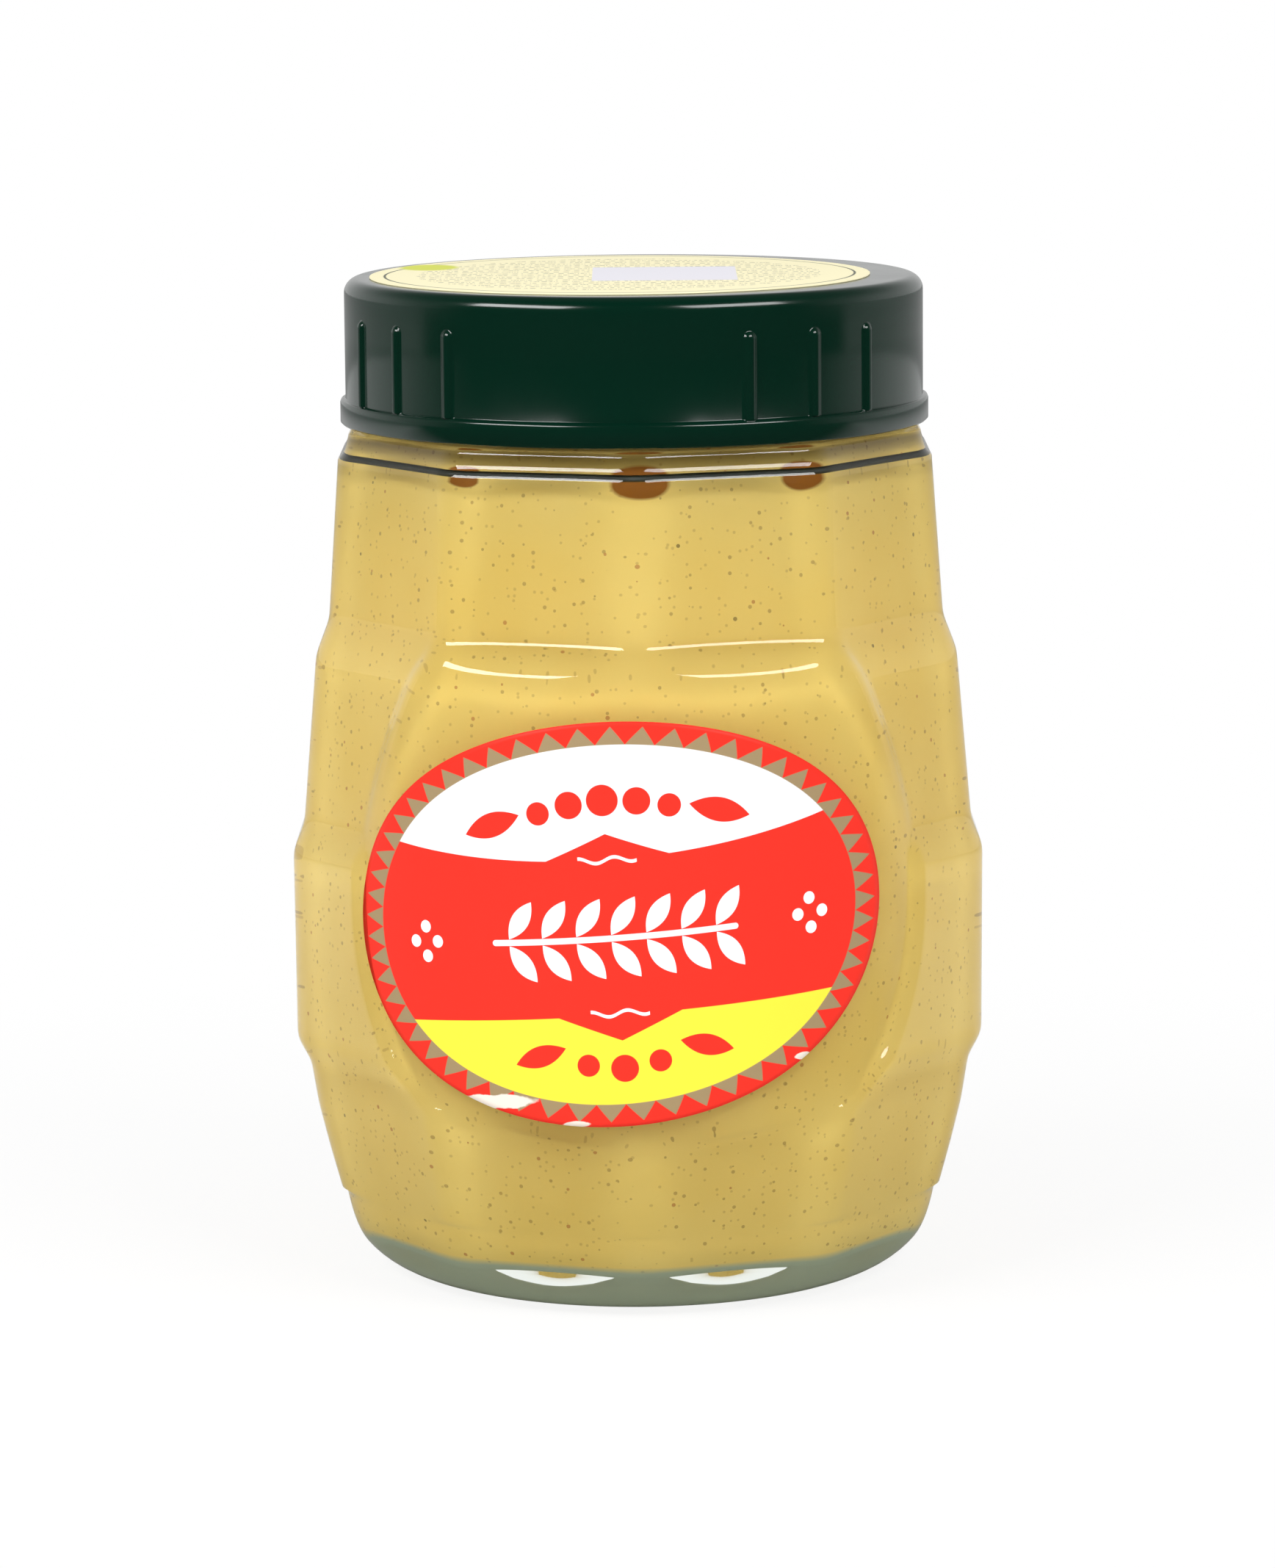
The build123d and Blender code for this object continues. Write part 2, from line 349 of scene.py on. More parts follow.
# How far in and how high each ring of the painted dark line's small section lies
DARK_LINE_SECTION = (
    (0.45, 0.0),
    (0.2, 0.06),
    (0.12, 0.3),
    (0.2, 0.56),
    (0.45, DARK_LINE_HEIGHT),
    (0.6, 0.3),
)
dark_line_edge = faceted(BODY_TURNS, SHOULDER_RIDGE_R, DARK_LINE_RIDGE_ROUND) - DARK_LINE_DEPTH
dark_line_rings = [ring(dark_line_edge - inset - up * DARK_LINE_LEAN, DARK_LINE_Z + up) for inset, up in DARK_LINE_SECTION]
painted_line_ribbon = ring_mesh("shoulder_painted_dark_line", dark_line_rings, closed_loop=True)

# Painted shade: the ribbon is near black and stands in for the dark the glass shows at the edge
painted_line_material, tree, shader = new_material("painted_dark_line_shade")
shader.inputs["Base Color"].default_value = linear(26, 30, 22)
shader.inputs["Roughness"].default_value = 0.3
relief(tree, shader, noise_over(tree, coordinates(tree, "Generated"), 400.0), 0.2, 0.0002)
painted_line_ribbon.data.materials.append(painted_line_material)
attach(painted_line_ribbon, "root")

# --- The mustard ------------------------------------------------------------------------------
# Smooth paste poured in hot, so it lies against the glass everywhere. It reaches just into the
# wall. Fine bran specks float in it, and the shade under the shoulder is painted on it as darker
# brown.
FILL_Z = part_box("mustard")[1].z / MM
INTO_WALL = 0.12
FILL_ROUND = FLOOR_ROUND + INTO_WALL
mustard_rings = []
for share in (0.05, 0.35, 0.7, 1.0):
    mustard_rings.append(ring(FLOOR_FLAT_R * share, FLOOR_Z - INTO_WALL))
for turn in np.linspace(math.pi / 2 - 0.15, 0.0, 9):
    r = FLOOR_FLAT_R + FILL_ROUND * math.cos(turn)
    mustard_rings.append(ring(r, FLOOR_ROUND_TOP_Z - FILL_ROUND * math.sin(turn)))
for z in np.linspace(FLOOR_ROUND_TOP_Z + 0.8, FILL_Z, 100):
    mustard_rings.append(ring(cavity_radius(z) + INTO_WALL, z))
for share in (0.8, 0.4, 0.05):
    mustard_rings.append(ring((NECK_INNER_R + INTO_WALL) * share, FILL_Z))
mustard = ring_mesh("mustard_fill", mustard_rings)


def feed(tree, socket, value):
    """Gives a socket a number, a colour or another node's output."""
    if isinstance(value, bpy.types.NodeSocket):
        tree.links.new(value, socket)
    else:
        socket.default_value = value


def mix_colour(tree, factor, first, second):
    """Colour between first and second; each of the three is a socket or a value."""
    node = tree.nodes.new("ShaderNodeMix")
    node.data_type = "RGBA"
    feed(tree, node.inputs[0], factor)
    feed(tree, node.inputs[6], first)
    feed(tree, node.inputs[7], second)
    return node.outputs[2]


def calculate(tree, operation, *values, clamp=False):
    """The result of one sum on sockets and numbers."""
    node = tree.nodes.new("ShaderNodeMath")
    node.operation = operation
    node.use_clamp = clamp
    for socket, value in zip(node.inputs, values):
        feed(tree, socket, value)
    return node.outputs[0]


def carry_over(tree, value, start, end, low=0.0, high=1.0, smooth=False):
    """Turns value's range, start to end, into low to high, and holds it at both ends."""
    node = tree.nodes.new("ShaderNodeMapRange")
    if smooth:
        node.interpolation_type = "SMOOTHSTEP"
    node.inputs["From Min"].default_value = start
    node.inputs["From Max"].default_value = end
    node.inputs["To Min"].default_value = low
    node.inputs["To Max"].default_value = high
    tree.links.new(value, node.inputs["Value"])
    return node.outputs["Result"]


def split_vector(tree, vector):
    """X, Y and Z of a vector."""
    node = tree.nodes.new("ShaderNodeSeparateXYZ")
    tree.links.new(vector, node.inputs["Vector"])
    return node.outputs["X"], node.outputs["Y"], node.outputs["Z"]


def speck_mask(tree, vector, scale, size, keep):
    """1 inside scattered specks: size is a speck's radius in cells, keep the share of cells used."""
    cells = tree.nodes.new("ShaderNodeTexVoronoi")
    cells.inputs["Scale"].default_value = scale
    tree.links.new(vector, cells.inputs["Vector"])
    chosen = tree.nodes.new("ShaderNodeSeparateColor")
    tree.links.new(cells.outputs["Color"], chosen.inputs["Color"])
    near = calculate(tree, "LESS_THAN", cells.outputs["Distance"], size)
    few = calculate(tree, "LESS_THAN", chosen.outputs["Red"], keep)
    return calculate(tree, "MULTIPLY", near, few)


# Fine bran to coarse husk: cells to a metre, size, share of cells kept, strength and colour
SPECKS = (
    (1500.0, 0.24, 0.34, 0.34, linear(176, 132, 66)),
    (1000.0, 0.20, 0.24, 0.50, linear(150, 106, 54)),
    (700.0, 0.15, 0.10, 0.62, linear(186, 100, 52)),
    (520.0, 0.11, 0.06, 0.70, linear(104, 76, 40)),
)
# Drops of amber oil at the tops of three ridges: degrees from the front, half width, half height
OIL_DROPS = (
    (1.0, 2.5, 1.5),
    (36.0, 2.2, 1.3),
    (-37.0, 1.6, 0.8),
)
OIL_DROP_Z = 84.9
OIL_DROP_R = 27.6
OIL_AMBER = linear(150, 88, 8)
# Painted shade under the shoulder: the heights it runs between, and its brown
DARK_FROM_Z = 84.0
DARK_TO_Z = 89.5
NECK_SHADE_BROWN = linear(70, 44, 8)
# Painted light on the filling's underside, as seen through the thick base
UNDERSIDE_PAINTED_GREEN = linear(176, 184, 158)

mustard_material, tree, shader = new_material("mustard_paste")
place = coordinates(tree)
cloud = noise_over(tree, place, 60.0, 3.0)
tone = tree.nodes.new("ShaderNodeValToRGB")
tone.color_ramp.elements[0].position = 0.3
tone.color_ramp.elements[0].color = linear(243, 208, 112)
tone.color_ramp.elements[1].position = 0.7
tone.color_ramp.elements[1].color = linear(248, 216, 126)
tree.links.new(cloud, tone.inputs["Fac"])
colour = tone.outputs["Color"]
for scale, size, keep, strength, tint in SPECKS:
    mask = speck_mask(tree, place, scale, size, keep)
    colour = mix_colour(tree, calculate(tree, "MULTIPLY", mask, strength), colour, tint)
# Painted shade: darker brown towards the neck, where the cap's shadow falls on the filling
height = split_vector(tree, place)[2]
neck_shade = carry_over(tree, height, DARK_FROM_Z * MM, DARK_TO_Z * MM)
colour = mix_colour(tree, neck_shade, colour, NECK_SHADE_BROWN)
for degrees, half_wide, half_high in OIL_DROPS:
    turn = math.radians(degrees)
    reach = OIL_DROP_R / half_wide
    scaled = tree.nodes.new("ShaderNodeVectorMath")
    scaled.operation = "MULTIPLY"
    tree.links.new(place, scaled.inputs[0])
    wide_share = 1.0 / (half_wide * MM)
    scaled.inputs[1].default_value = (wide_share, wide_share, 1.0 / (half_high * MM))
    spread = tree.nodes.new("ShaderNodeVectorMath")
    spread.operation = "DISTANCE"
    tree.links.new(scaled.outputs[0], spread.inputs[0])
    spread.inputs[1].default_value = (
        reach * math.sin(turn),
        -reach * math.cos(turn),
        OIL_DROP_Z / half_high,
    )
    drop = carry_over(tree, spread.outputs["Value"], 1.12, 0.92)
    colour = mix_colour(tree, drop, colour, OIL_AMBER)
# Painted light: the filling's underside is coloured grey-green, standing in for the light the thick
# base glass shows from the side
painted_underside_light = carry_over(tree, height, (FLOOR_Z + 0.9) * MM, (FLOOR_Z + 0.3) * MM)
colour = mix_colour(tree, painted_underside_light, colour, UNDERSIDE_PAINTED_GREEN)
tree.links.new(colour, shader.inputs["Base Color"])
shader.inputs["Roughness"].default_value = 0.45
shader.inputs["Specular IOR Level"].default_value = 0.2
relief(tree, shader, cloud, 0.15, 0.0002)
mustard.data.materials.append(mustard_material)
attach(mustard, "root")
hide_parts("mustard")

# --- The screw cap ----------------------------------------------------------------------------
# One injection moulding in dark green plastic: a shallow cup with a rolled top edge, a stop flange
# at its foot and four groups of three half-round grip ribs. It screws on the neck.
cap_low, cap_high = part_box("lid")
CAP_TOP_Z = cap_high.z / MM
CAP_LOW_Z = cap_low.z / MM
CAP_R = 29.85
CAP_INNER_R = CAP_R - 1.5
CAP_EDGE_ROUND = 1.5
CAP_CENTRE_R = 0.5
FLANGE_R = CAP_R + 0.55
FLANGE_TOP_Z = CAP_LOW_Z + 2.5
RIB_GROUPS = 4
RIB_PITCH = math.radians(14.5)
RIB_FIRST = math.radians(37.0)
RIB_R = 0.8
RIB_PROUD = 0.45
RIB_TOP_Z = CAP_TOP_Z - 3.5
CAP_TURNS = turns_around(1440)


def cap_radius(z):
    """Wall radius of the cap with its ribs, for every angle."""
    radius = np.full(CAP_TURNS.shape, CAP_R)
    over = np.clip(z - (RIB_TOP_Z - RIB_R), 0.0, None)
    for group in range(RIB_GROUPS):
        for rib in (-1, 0, 1):
            centre = RIB_FIRST + group * math.pi / 2 + rib * RIB_PITCH
            across = ((CAP_TURNS - centre + math.pi) % (2 * math.pi) - math.pi) * CAP_R
            reach = np.clip(RIB_R**2 - across**2 - over**2, 0.0, None)
            proud = np.sqrt(reach) - (RIB_R - RIB_PROUD)
            radius = np.maximum(radius, CAP_R + np.clip(proud, 0.0, None))
    return radius


# From the middle of the underside out to the inner wall, down it, and round the flange
cap_outline = [
    (CAP_CENTRE_R, RIM_Z),
    (CAP_INNER_R, RIM_Z),
    (CAP_INNER_R, CAP_LOW_Z + 0.15),
    (CAP_INNER_R + 0.15, CAP_LOW_Z),
    (FLANGE_R - 0.2, CAP_LOW_Z),
    (FLANGE_R, CAP_LOW_Z + 0.2),
    (FLANGE_R, FLANGE_TOP_Z - 0.35),
    (FLANGE_R - 0.1, FLANGE_TOP_Z - 0.1),
    (FLANGE_R - 0.3, FLANGE_TOP_Z),
    (np.maximum(cap_radius(FLANGE_TOP_Z), CAP_R + 0.1), FLANGE_TOP_Z),
    (cap_radius(FLANGE_TOP_Z), FLANGE_TOP_Z + 0.15),
    (cap_radius(RIB_TOP_Z - 2.0), RIB_TOP_Z - 2.0),
]
# Over the rounded tops of the ribs, over the rolled edge and in to the middle of the top
for z in np.linspace(RIB_TOP_Z - 1.0, RIB_TOP_Z + 0.1, 12):
    cap_outline.append((cap_radius(z), z))
for turn in np.linspace(0.0, math.pi / 2, 12):
    r = CAP_R - CAP_EDGE_ROUND * (1 - math.cos(turn))
    cap_outline.append((r, CAP_TOP_Z - CAP_EDGE_ROUND * (1 - math.sin(turn))))
for r in (CAP_R - CAP_EDGE_ROUND - 0.4, 12.0, CAP_CENTRE_R):
    cap_outline.append((r, CAP_TOP_Z))
cap = ring_mesh("screw_cap", [ring(r, z, CAP_TURNS) for r, z in cap_outline])

cap_material, tree, shader = new_material("green_cap_plastic")
shader.inputs["Base Color"].default_value = linear(2, 33, 22)
shader.inputs["Specular IOR Level"].default_value = 0.5
scuffs = noise_over(tree, coordinates(tree), 160.0, 4.0)
tree.links.new(carry_over(tree, scuffs, 0.0, 1.0, 0.12, 0.2), shader.inputs["Roughness"])
relief(tree, shader, scuffs, 0.08, 0.0002)
cap.data.materials.append(cap_material)
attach(cap, "root")
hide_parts("lid")

# --- The front label --------------------------------------------------------------------------
# Coated paper, oval, glued round the panel and a little askew. Print: a red rim with a zigzag,
# then a white field, a red band and a yellow field. Its lower left edge is scuffed to the white.
LABEL_HALF_W = 29.6
LABEL_HALF_H = 20.4
LABEL_AZIMUTH = math.radians(-4.6)
LABEL_TILT = math.radians(4.4)
LABEL_Z = 41.65
PAPER = 0.12
PRINT_SPAN = 60.0
WELD_DISTANCE = 1e-7


def oval_label(name):
    """The oval sheet as a closed thin shell: rings from the centre to the rim, front and back."""
    around, levels = 256, 40
    verts, uvs, faces = [], [], []
    turns = np.linspace(0.0, 2 * math.pi, around, endpoint=False)
    for radius in (PANEL_R + PAPER, PANEL_R):
        for level in range(levels + 1):
            share = level / levels
            for turn in turns:
                across = LABEL_HALF_W * share * math.cos(turn)
                up = LABEL_HALF_H * share * math.sin(turn)
                arc = across * math.cos(LABEL_TILT) - up * math.sin(LABEL_TILT)
                z = LABEL_Z + across * math.sin(LABEL_TILT) + up * math.cos(LABEL_TILT)
                angle = LABEL_AZIMUTH + arc / PANEL_R
                point = (radius * math.sin(angle), -radius * math.cos(angle), z)
                verts.append(tuple(v * MM for v in point))
                uvs.append((across / PRINT_SPAN + 0.5, up / PRINT_SPAN + 0.5))
    sheet = (levels + 1) * around
    rim = levels * around
    for i in range(around):
        j = (i + 1) % around
        for level in range(levels):
            a = level * around
            b = a + around
            faces.append((a + i, b + i, b + j, a + j))
            faces.append((sheet + a + j, sheet + b + j, sheet + b + i, sheet + a + i))
        faces.append((rim + i, sheet + rim + i, sheet + rim + j, rim + j))
    mesh = bpy.data.meshes.new(name)
    mesh.from_pydata(verts, [], faces)
    layer = mesh.uv_layers.new(name="print")
    for loop in mesh.loops:
        layer.data[loop.index].uv = uvs[loop.vertex_index]
    work = bmesh.new()
    work.from_mesh(mesh)
    bmesh.ops.remove_doubles(work, verts=work.verts, dist=WELD_DISTANCE)
    work.to_mesh(mesh)
    work.free()
    mesh.polygons.foreach_set("use_smooth", [True] * len(mesh.polygons))
    return add_object(name, mesh)


label = oval_label("front_label_paper")


class Ink:
    """Builds masks of printed fields from a place on the label, x and y in millimetres."""

    def __init__(self, tree, x, y):
        self.tree = tree
        self.x = x
        self.y = y

    def math(self, operation, *values):
        """The result of one sum on sockets and numbers."""
        return calculate(self.tree, operation, *values)

    def away(self, value, place):
        """Distance of a value from a place, either way."""
        return self.math("ABSOLUTE", self.math("SUBTRACT", value, place))

    def above(self, value, limit, soft=0.06):
        """1 where value is above limit, with an edge as soft as print."""
        clamp = self.tree.nodes.new("ShaderNodeClamp")
        share = self.math("DIVIDE", self.math("SUBTRACT", value, limit), soft)
        self.tree.links.new(share, clamp.inputs["Value"])
        return clamp.outputs[0]

    def below(self, value, limit, soft=0.06):
        """1 where value is below limit, with an edge as soft as print."""
        return self.math("SUBTRACT", 1.0, self.above(value, limit, soft))

    def both(self, *masks):
        """1 only where every mask is."""
        out = masks[0]
        for mask in masks[1:]:
            out = self.math("MULTIPLY", out, mask)
        return out

    def oval(self, half_w, half_h, x=0.0, y=0.0):
        """Distance measure of an oval: 1 on its outline, less inside."""
        a = self.math("DIVIDE", self.math("SUBTRACT", self.x, x), half_w)
        b = self.math("DIVIDE", self.math("SUBTRACT", self.y, y), half_h)
        total = self.math("ADD", self.math("MULTIPLY", a, a), self.math("MULTIPLY", b, b))
        return self.math("SQRT", total)

    def seed(self, x, y, radius):
        """Mask of a round seed."""
        return self.below(self.oval(radius, radius, x, y), 1.0, 0.05)

    def leaf(self, x, y, length, width, turn):
        """Mask of a leaf with two points, at a place and turn on the label."""
        c, s = math.cos(turn), math.sin(turn)
        dx = self.math("SUBTRACT", self.x, x)
        dy = self.math("SUBTRACT", self.y, y)
        along = self.math("ADD", self.math("MULTIPLY", dx, c), self.math("MULTIPLY", dy, s))
        side = self.away(self.math("MULTIPLY", dy, c), self.math("MULTIPLY", dx, s))
        share = self.math("POWER", self.math("DIVIDE", along, length / 2), 2.0)
        room = self.math("MULTIPLY", self.math("SUBTRACT", 1.0, share), width / 2)
        return self.above(self.math("SUBTRACT", room, side), 0.0)

    def stem(self, x, y, length, thickness):
        """Mask of a straight stem with round ends."""
        beyond = self.math("SUBTRACT", self.away(self.x, x), (length - thickness) / 2)
        dx = self.math("MAXIMUM", beyond, 0.0)
        dy = self.math("SUBTRACT", self.y, y)
        square = self.math("ADD", self.math("MULTIPLY", dx, dx), self.math("MULTIPLY", dy, dy))
        return self.below(self.math("SQRT", square), thickness / 2)

    def ripple(self, x, y, half_length, half_thickness):
        """Mask of a short waved line."""
        sway = self.math("MULTIPLY", self.math("SINE", self.math("MULTIPLY", self.x, 1.75)), 0.28)
        off = self.away(self.math("SUBTRACT", self.y, y), sway)
        near = self.below(self.away(self.x, x), half_length)
        return self.both(near, self.below(off, half_thickness))


RED = linear(240, 48, 34)
KHAKI = linear(160, 138, 102)
WHITE = linear(250, 249, 253)
YELLOW = linear(254, 232, 66)
BARE_PAPER = linear(238, 228, 216)
TEETH = 56
TOOTH_FOOT = 0.885
TOOTH_DEPTH = 0.088
INNER_SHARE = 0.886
BAND_TOP = 6.6
BAND_LOW = -9.1
BAND_BOW = 0.0042
PEAK_X = 0.2
PEAK_HEIGHT = 2.6
PEAK_SLOPE = 0.42
UPPER_SEEDS = (
    (-6.4, 11.6, 1.15),
    (-3.2, 12.3, 1.35),
    (0.2, 12.6, 1.55),
    (3.6, 12.3, 1.35),
    (6.8, 11.6, 1.15),
)
LOWER_SEEDS = ((-3.4, -14.0, 1.1), (0.2, -14.5, 1.35), (3.8, -14.0, 1.1))
# Place and half sizes of the scuffed stretch at the lower left and of two small chips
SCUFFS = (
    (-13.6, -17.4, 4.4, 0.75),
    (-5.2, -19.9, 1.5, 0.35),
    (18.6, -15.6, 0.9, 0.35),
)

label_material, tree, shader = new_material("printed_label_paper")
print_map = tree.nodes.new("ShaderNodeUVMap")
print_map.uv_map = "print"
map_x, map_y, _ = split_vector(tree, print_map.outputs["UV"])
ink = Ink(
    tree,
    calculate(tree, "MULTIPLY", calculate(tree, "SUBTRACT", map_x, 0.5), PRINT_SPAN),
    calculate(tree, "MULTIPLY", calculate(tree, "SUBTRACT", map_y, 0.5), PRINT_SPAN),
)
# The rim: red with khaki teeth that point outward from the inner field
rim_share = ink.oval(LABEL_HALF_W, LABEL_HALF_H)
up_share = ink.math("DIVIDE", ink.y, LABEL_HALF_H)
across_share = ink.math("DIVIDE", ink.x, LABEL_HALF_W)
around_turn = ink.math("ARCTAN2", up_share, across_share)
wave = ink.math("PINGPONG", ink.math("MULTIPLY", around_turn, TEETH / math.pi), 1.0)
tooth_tip = ink.math("MULTIPLY_ADD", wave, TOOTH_DEPTH, TOOTH_FOOT)
colour = mix_colour(tree, ink.below(rim_share, tooth_tip, 0.006), RED, KHAKI)
# The inner fields, from the bottom up: yellow, red band with a peak each way, white
slope = ink.math("MULTIPLY", ink.away(ink.x, PEAK_X), PEAK_SLOPE)
peak = ink.math("MAXIMUM", ink.math("SUBTRACT", PEAK_HEIGHT, slope), 0.0)
bow = ink.math("MULTIPLY", ink.math("MULTIPLY", ink.x, ink.x), BAND_BOW)
top_edge = ink.math("ADD", ink.math("ADD", BAND_TOP, bow), peak)
low_line = ink.math("SUBTRACT", BAND_LOW, ink.math("MULTIPLY", bow, 0.1))
low_edge = ink.math("SUBTRACT", low_line, peak)
field = mix_colour(tree, ink.above(ink.y, low_edge), YELLOW, RED)
field = mix_colour(tree, ink.above(ink.y, top_edge), field, WHITE)
# White field: a row of red seeds between two leaves
for x, y, r in UPPER_SEEDS:
    field = mix_colour(tree, ink.seed(x, y, r), field, RED)
for x, turn in ((-11.4, 0.3), (11.8, -0.3)):
    field = mix_colour(tree, ink.leaf(x, 10.6, 6.4, 2.5, turn), field, RED)
# Red band: a white sprig of leaves along a stem, four seeds at each side, and two waved lines
field = mix_colour(tree, ink.stem(0.2, -1.3, 25.0, 0.55), field, WHITE)
for i in range(7):
    for y, turn in ((0.9, 0.95), (-3.5, -0.95)):
        field = mix_colour(tree, ink.leaf(-9.2 + 3.5 * i, y, 4.6, 1.9, turn), field, WHITE)
for x in (-20.2, 20.6):
    for dx, dy in ((0.0, 1.5), (1.4, 0.0), (0.0, -1.5), (-1.4, 0.0)):
        field = mix_colour(tree, ink.seed(x + dx, -1.2 + dy, 0.62), field, WHITE)
for y in (6.6, -8.9):
    field = mix_colour(tree, ink.ripple(0.2, y, 2.9, 0.14), field, WHITE)
# Yellow field: red seeds and leaves in a lower arc
for x, y, r in LOWER_SEEDS:
    field = mix_colour(tree, ink.seed(x, y, r), field, RED)
for x, turn in ((-8.2, 0.28), (8.6, -0.28)):
    field = mix_colour(tree, ink.leaf(x, -12.9, 5.6, 2.2, turn), field, RED)
colour = mix_colour(tree, ink.below(rim_share, INNER_SHARE, 0.004), colour, field)
# Where the rim is scuffed, the bare paper shows with a ragged edge
rough_edge = noise_over(tree, print_map.outputs["UV"], 34.0, 5.0)
ragged = ink.math("MULTIPLY", ink.math("SUBTRACT", rough_edge, 0.5), 0.9)
for x, y, half_w, half_h in SCUFFS:
    torn = ink.math("ADD", ink.oval(half_w, half_h, x, y), ragged)
    colour = mix_colour(tree, ink.below(torn, 0.9, 0.15), colour, BARE_PAPER)
tree.links.new(colour, shader.inputs["Base Color"])
shader.inputs["Specular IOR Level"].default_value = 0.15
fibre = noise_over(tree, coordinates(tree), 900.0)
tree.links.new(carry_over(tree, fibre, 0.0, 1.0, 0.38, 0.5), shader.inputs["Roughness"])
relief(tree, shader, fibre, 0.05, 0.0001)
label.data.materials.append(label_material)
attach(label, "root")
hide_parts("front_label")

# --- The label on the cap ---------------------------------------------------------------------
# A round of pale yellow coated paper, stuck on a little off centre. Print: a fine line inside its
# edge, rows of broken dashes for the small print, a white block and a yellow-green mark.
seal_low, seal_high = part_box("lid_label")
seal_centre = (seal_low + seal_high) / 2 / MM
SEAL_R = (seal_high.x - seal_low.x) / 2 / MM
SEAL_TOP_Z = CAP_TOP_Z + PAPER
SEAL_TURNS = turns_around(256)
SEAL_OUTLINE = (
    (1.0, CAP_TOP_Z),
    (SEAL_R / 2, CAP_TOP_Z),
    (SEAL_R, CAP_TOP_Z),
    (SEAL_R, SEAL_TOP_Z),
    (SEAL_R - 0.05, SEAL_TOP_Z),
    (SEAL_R / 2, SEAL_TOP_Z),
    (1.0, SEAL_TOP_Z),
)
seal_offset = np.array([seal_centre.x, seal_centre.y, 0.0])
seal_rings = [ring(r, z, SEAL_TURNS) + seal_offset for r, z in SEAL_OUTLINE]
seal = ring_mesh("cap_label_paper", seal_rings)

PAPER_YELLOW = linear(252, 244, 200)
PRINT_GREY = linear(96, 100, 84)
BLOCK_WHITE = linear(232, 230, 238)
MARK_GREEN = linear(214, 220, 70)
ROWS_PER_MM = 0.95
BLOCK_X = 4.6
BLOCK_HALF_W = 7.4
BLOCK_HALF_H = 9.0

seal_material, tree, shader = new_material("pale_yellow_label_paper")
seal_x, seal_y, _ = split_vector(tree, coordinates(tree))
ink = Ink(
    tree,
    calculate(tree, "SUBTRACT", calculate(tree, "MULTIPLY", seal_x, 1.0 / MM), seal_centre.x),
    calculate(tree, "SUBTRACT", calculate(tree, "MULTIPLY", seal_y, 1.0 / MM), seal_centre.y),
)
field_share = ink.oval(SEAL_R, SEAL_R)
fine_line = ink.both(ink.above(field_share, 0.932, 0.004), ink.below(field_share, 0.942, 0.004))
colour = mix_colour(tree, fine_line, PAPER_YELLOW, PRINT_GREY)
# Rows of broken dashes, kept inside the line and off the white block
rows = ink.math("PINGPONG", ink.math("MULTIPLY", ink.y, ROWS_PER_MM), 1.0)
on_row = ink.above(rows, 0.62, 0.15)
dash_grid = tree.nodes.new("ShaderNodeCombineXYZ")
row_number = ink.math("FLOOR", ink.math("MULTIPLY", ink.y, ROWS_PER_MM / 2))
tree.links.new(ink.math("MULTIPLY", ink.x, 1.9), dash_grid.inputs["X"])
tree.links.new(row_number, dash_grid.inputs["Y"])
on_dash = ink.above(noise_over(tree, dash_grid.outputs["Vector"], 1.0), 0.47, 0.05)
inside_line = ink.below(field_share, 0.8, 0.02)
beside_block = ink.above(ink.away(ink.x, BLOCK_X), BLOCK_HALF_W)
over_block = ink.above(ink.math("ABSOLUTE", ink.y), BLOCK_HALF_H)
off_block = ink.math("MAXIMUM", beside_block, over_block)
small_print = ink.both(on_row, on_dash, inside_line, off_block)
colour = mix_colour(tree, ink.math("MULTIPLY", small_print, 0.6), colour, PRINT_GREY)
colour = mix_colour(tree, ink.math("SUBTRACT", 1.0, off_block), colour, BLOCK_WHITE)
mark = ink.below(ink.oval(2.6, 3.4, -20.0, 10.6), 1.0, 0.3)
colour = mix_colour(tree, mark, colour, MARK_GREEN)
tree.links.new(colour, shader.inputs["Base Color"])
shader.inputs["Roughness"].default_value = 0.45
shader.inputs["Specular IOR Level"].default_value = 0.3
seal.data.materials.append(seal_material)
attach(seal, "root")
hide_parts("lid_label")

# --- Floor and room ---------------------------------------------------------------------------
# A plain white floor in a white room. The camera and rays through the glass see both as white.
# Gloss sees them dim in front of the jar and overhead, as in a studio with the house lights down.
FLOOR_HALF = 3.0
floor_mesh = bpy.data.meshes.new("floor")
floor_mesh.from_pydata(
    [
        (-FLOOR_HALF, -FLOOR_HALF, 0.0),
        (FLOOR_HALF, -FLOOR_HALF, 0.0),
        (FLOOR_HALF, FLOOR_HALF, 0.0),
        (-FLOOR_HALF, FLOOR_HALF, 0.0),
    ],
    [],
    [(0, 1, 2, 3)],
)
floor = add_object("floor", floor_mesh)


def sees_white(tree, path):
    """1 for rays from the camera and rays that go through glass."""
    rays = (path.outputs["Is Camera Ray"], path.outputs["Is Transmission Ray"])
    return calculate(tree, "ADD", *rays, clamp=True)


def mix_shaders(tree, factor, first, second):
    """A shader between first and second."""
    node = tree.nodes.new("ShaderNodeMixShader")
    for socket, value in zip(node.inputs, (factor, first, second)):
        tree.links.new(value, socket)
    return node.outputs[0]


def glow(tree, level):
    """A grey shader that shows at that level under any light."""
    node = tree.nodes.new("ShaderNodeEmission")
    node.inputs["Color"].default_value = (level, level, level, 1.0)
    node.inputs["Strength"].default_value = 1.0
    return node.outputs[0]


floor_material, tree, shader = new_material("white_floor")
shader.inputs["Base Color"].default_value = (0.9, 0.9, 0.9, 1.0)
shader.inputs["Roughness"].default_value = 0.9
shader.inputs["Specular IOR Level"].default_value = 0.0
path = tree.nodes.new("ShaderNodeLightPath")
spot = coordinates(tree)
# In front of the jar, gloss sees the floor nearly dark
front_share = carry_over(tree, split_vector(tree, spot)[1], 0.05, -0.03)
dim_share = calculate(tree, "MULTIPLY", path.outputs["Is Glossy Ray"], front_share)
to_gloss = mix_shaders(tree, dim_share, shader.outputs[0], glow(tree, 0.03))
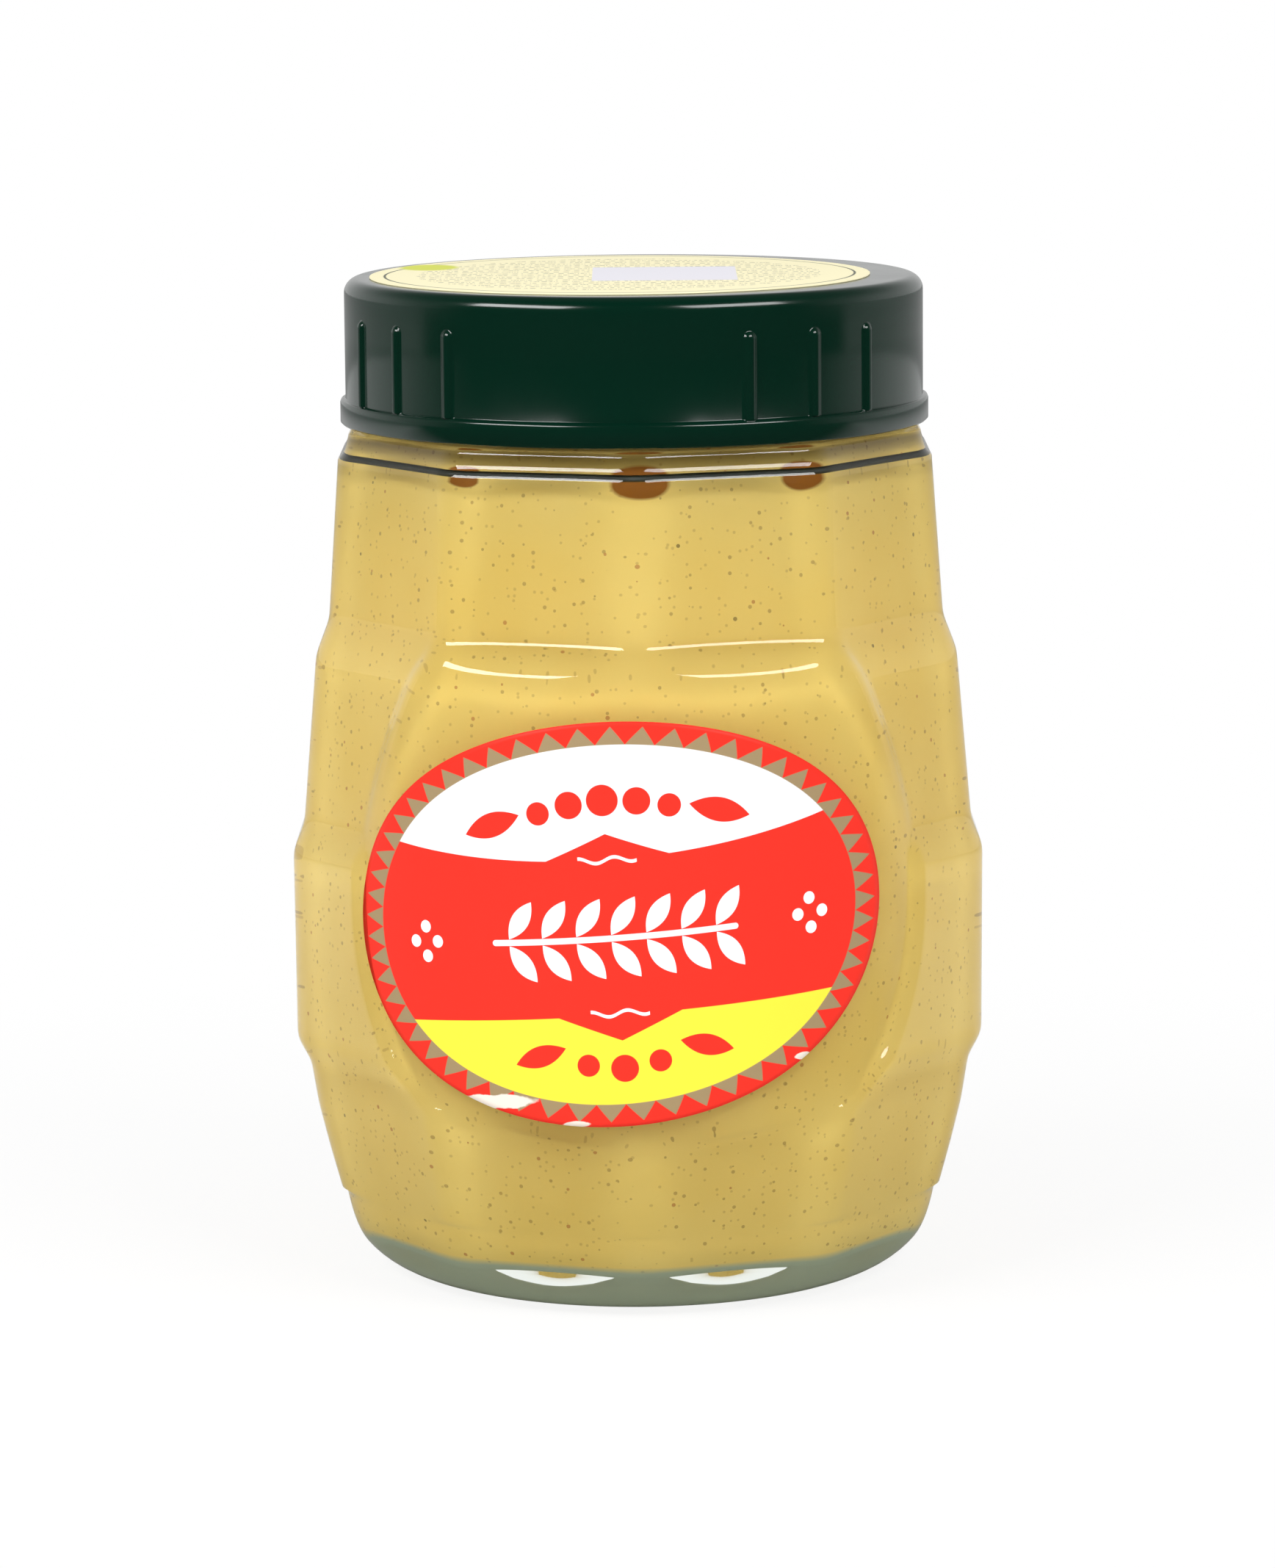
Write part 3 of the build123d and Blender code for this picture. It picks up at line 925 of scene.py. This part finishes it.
# Near the jar some of the floor's own shade stays, so that the jar's shadow shows
reach = tree.nodes.new("ShaderNodeVectorMath")
reach.operation = "LENGTH"
tree.links.new(spot, reach.inputs[0])
white_level = carry_over(tree, reach.outputs["Value"], 0.03, 0.16, 0.86, 1.0)
white_share = calculate(tree, "MULTIPLY", sees_white(tree, path), white_level)
surface = mix_shaders(tree, white_share, to_gloss, glow(tree, 1.0))
tree.links.new(surface, tree.nodes["Material Output"].inputs["Surface"])
floor.data.materials.append(floor_material)

ROOM_FILL = 0.38
world = bpy.data.worlds.new("studio")
bpy.context.scene.world = world
world.use_nodes = True
tree = world.node_tree
room = tree.nodes["Background"]
room.inputs["Color"].default_value = (1.0, 1.0, 1.0, 1.0)
path = tree.nodes.new("ShaderNodeLightPath")
fill = carry_over(tree, sees_white(tree, path), 0.0, 1.0, ROOM_FILL, 1.0)
_, to_back, upward = split_vector(tree, coordinates(tree, "Generated"))
pale_behind = carry_over(tree, to_back, -0.45, 0.55, 0.02, 0.75, smooth=True)
dim_overhead = carry_over(tree, upward, 0.15, 0.75, 1.0, 0.12, smooth=True)
seen_by_gloss = calculate(tree, "MULTIPLY", pale_behind, dim_overhead)
rays = (path.outputs["Is Glossy Ray"], path.outputs["Is Transmission Ray"])
only_gloss = calculate(tree, "SUBTRACT", *rays, clamp=True)
room_level = tree.nodes.new("ShaderNodeMix")
tree.links.new(only_gloss, room_level.inputs["Factor"])
tree.links.new(fill, room_level.inputs["A"])
tree.links.new(seen_by_gloss, room_level.inputs["B"])
tree.links.new(room_level.outputs["Result"], room.inputs["Strength"])

# --- Lamps and camera -------------------------------------------------------------------------
# Two soft boxes on stands, one each side in front of the jar and above it, so that the ledges and
# the cap's edge catch long highlights, and a camera with a long lens, looking a little down.
LAMP_DISTANCE = 0.8
LAMP_RISE = math.radians(42.0)
LAMP_WIDTH = 0.48
LAMP_HEIGHT = 0.22
LAMP_AIM = Vector((0.0, 0.0, 0.05))
for name, degrees, power in (("left_softbox", -50.0, 4.2), ("right_softbox", 44.0, 3.4)):
    turn = math.radians(degrees)
    level_reach = LAMP_DISTANCE * math.cos(LAMP_RISE)
    stand = Vector((
        level_reach * math.sin(turn),
        -level_reach * math.cos(turn),
        LAMP_DISTANCE * math.sin(LAMP_RISE),
    ))
    lamp_data = bpy.data.lights.new(name, "AREA")
    lamp_data.shape = "RECTANGLE"
    lamp_data.size = LAMP_WIDTH
    lamp_data.size_y = LAMP_HEIGHT
    lamp_data.energy = power
    lamp = add_object(name, lamp_data)
    lamp.location = stand
    lamp.rotation_euler = (LAMP_AIM - stand).to_track_quat("-Z", "Y").to_euler()

CAMERA_DISTANCE = 0.6263
CAMERA_HEIGHT = 0.1518
CAMERA_DOWN = math.radians(9.21)
CAMERA_ROLL = math.radians(-0.48)
CAMERA_LENS_MM = 139.2787
CAMERA_SENSOR_MM = 36.0
camera_data = bpy.data.cameras.new("camera")
camera_data.sensor_fit = "VERTICAL"
camera_data.sensor_height = CAMERA_SENSOR_MM
camera_data.lens = CAMERA_LENS_MM
camera_data.clip_start = 0.01
camera = add_object("camera", camera_data)
camera.location = (0.0, -CAMERA_DISTANCE, CAMERA_HEIGHT)
look = Vector((0.0, math.cos(CAMERA_DOWN), -math.sin(CAMERA_DOWN)))
camera.rotation_euler = look.to_track_quat("-Z", "Y").to_euler()
camera.rotation_euler.rotate_axis("Z", CAMERA_ROLL)
bpy.context.scene.camera = camera
bpy.context.scene.view_settings.view_transform = "Standard"
